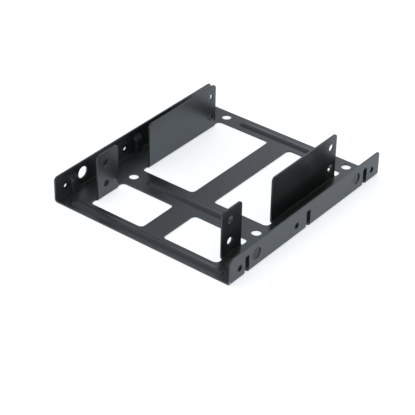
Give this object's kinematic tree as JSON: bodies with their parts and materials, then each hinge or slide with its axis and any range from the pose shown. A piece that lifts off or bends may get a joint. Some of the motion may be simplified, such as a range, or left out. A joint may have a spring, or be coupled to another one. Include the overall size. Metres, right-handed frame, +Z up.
{
  "type": "drive bay adapter bracket",
  "caption": "Folded sheet metal bracket that holds 2.5 inch drives between upright tabs and screws into a 3.5 inch drive bay through its side flanges.",
  "frame": {"origin": "middle of the underside of the base plate", "axes": "+X across the bay to the right, +Y from the front edge with the wide bead to the rear edge, +Z up, the way the flanges and tabs are folded"},
  "size_m": [0.1016, 0.1142, 0.0242],
  "materials": {
    "black_paint": "semi-gloss black powder coat"
  },
  "bodies": {
    "root": {"bracket": "black_paint"}
  },
  "joints": []
}
